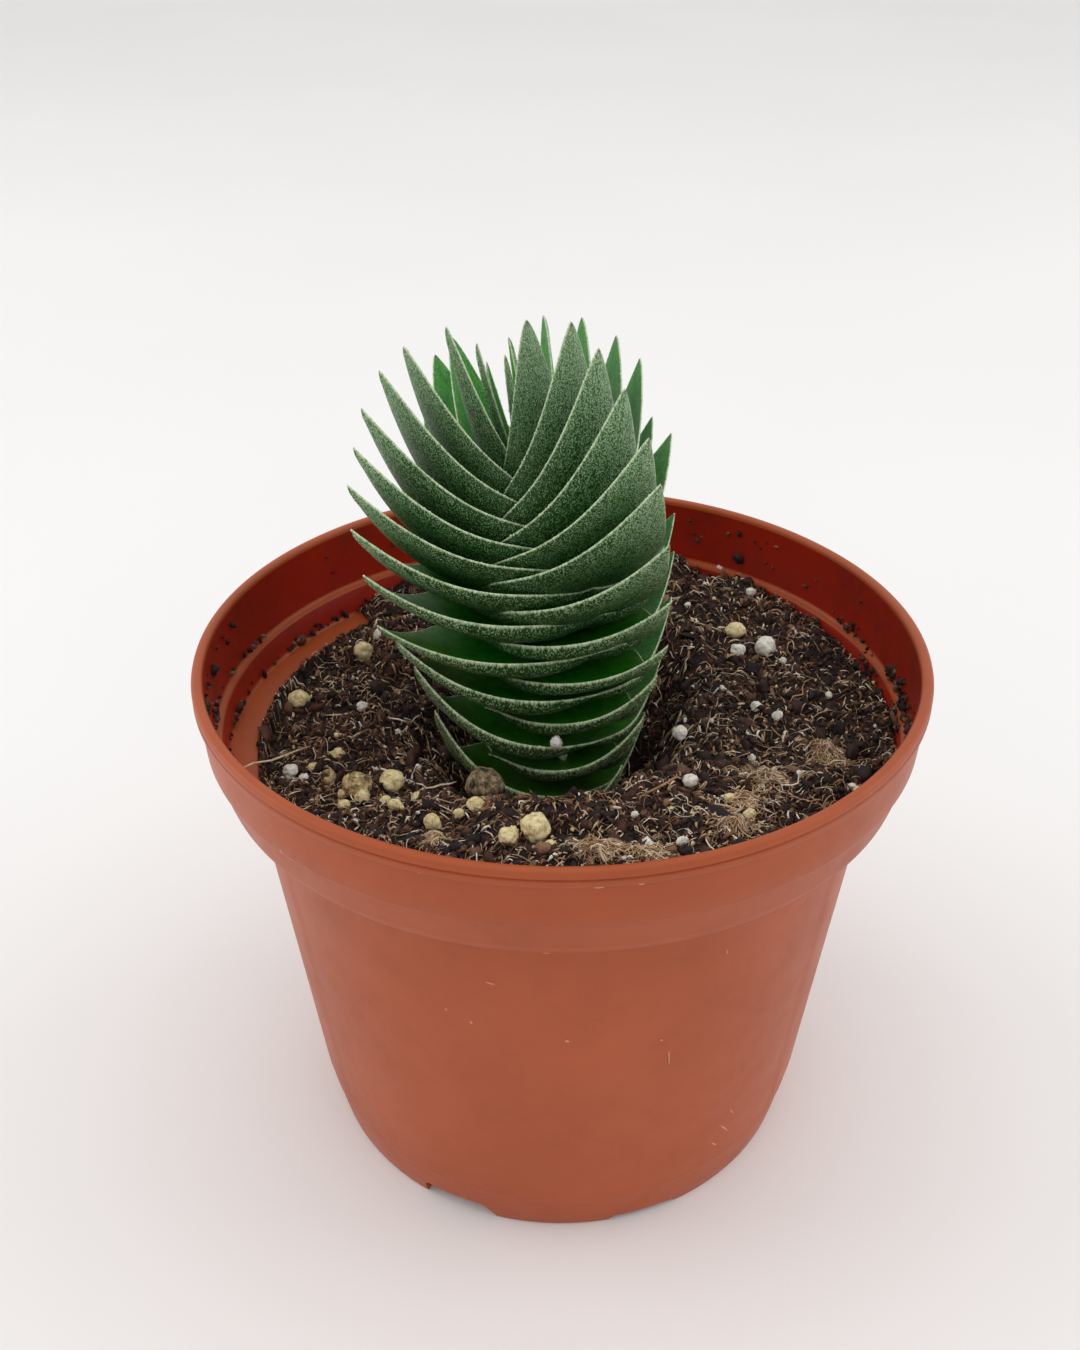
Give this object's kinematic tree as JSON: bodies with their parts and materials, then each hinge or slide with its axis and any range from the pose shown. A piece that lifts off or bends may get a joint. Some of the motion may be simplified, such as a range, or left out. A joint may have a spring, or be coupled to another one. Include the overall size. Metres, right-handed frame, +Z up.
{
  "type": "potted crassula",
  "caption": "Small succulent with pointed leaf pairs stacked in a square column, standing in dark potting mix in a round tapered plastic nursery pot.",
  "frame": {"origin": "middle of the pot's foot, on the surface that it stands on", "axes": "+Z up along the pot's axis; -Y is the side that shows best, with +X to its right"},
  "size_m": [0.085, 0.085, 0.1007],
  "materials": {
    "pot_plastic": "satin",
    "potting_mix": "damp crumbs and fibres",
    "leaf": "fine raised papillae",
    "pumice": "rough porous stone",
    "perlite": "rough porous granule",
    "bark": "cracked and dry"
  },
  "bodies": {
    "root": {"pot": "pot_plastic", "potting_mix": "potting_mix", "crassula": "leaf", "pumice_01": "pumice", "pumice_02": "pumice", "pumice_03": "pumice", "pumice_04": "pumice", "pumice_05": "pumice", "pumice_06": "pumice", "pumice_07": "pumice", "pumice_08": "pumice", "pumice_09": "pumice", "pumice_10": "pumice", "perlite_01": "perlite", "perlite_02": "perlite", "perlite_03": "perlite", "perlite_04": "perlite", "perlite_05": "perlite", "perlite_06": "perlite", "bark_chip": "bark"}
  },
  "joints": []
}
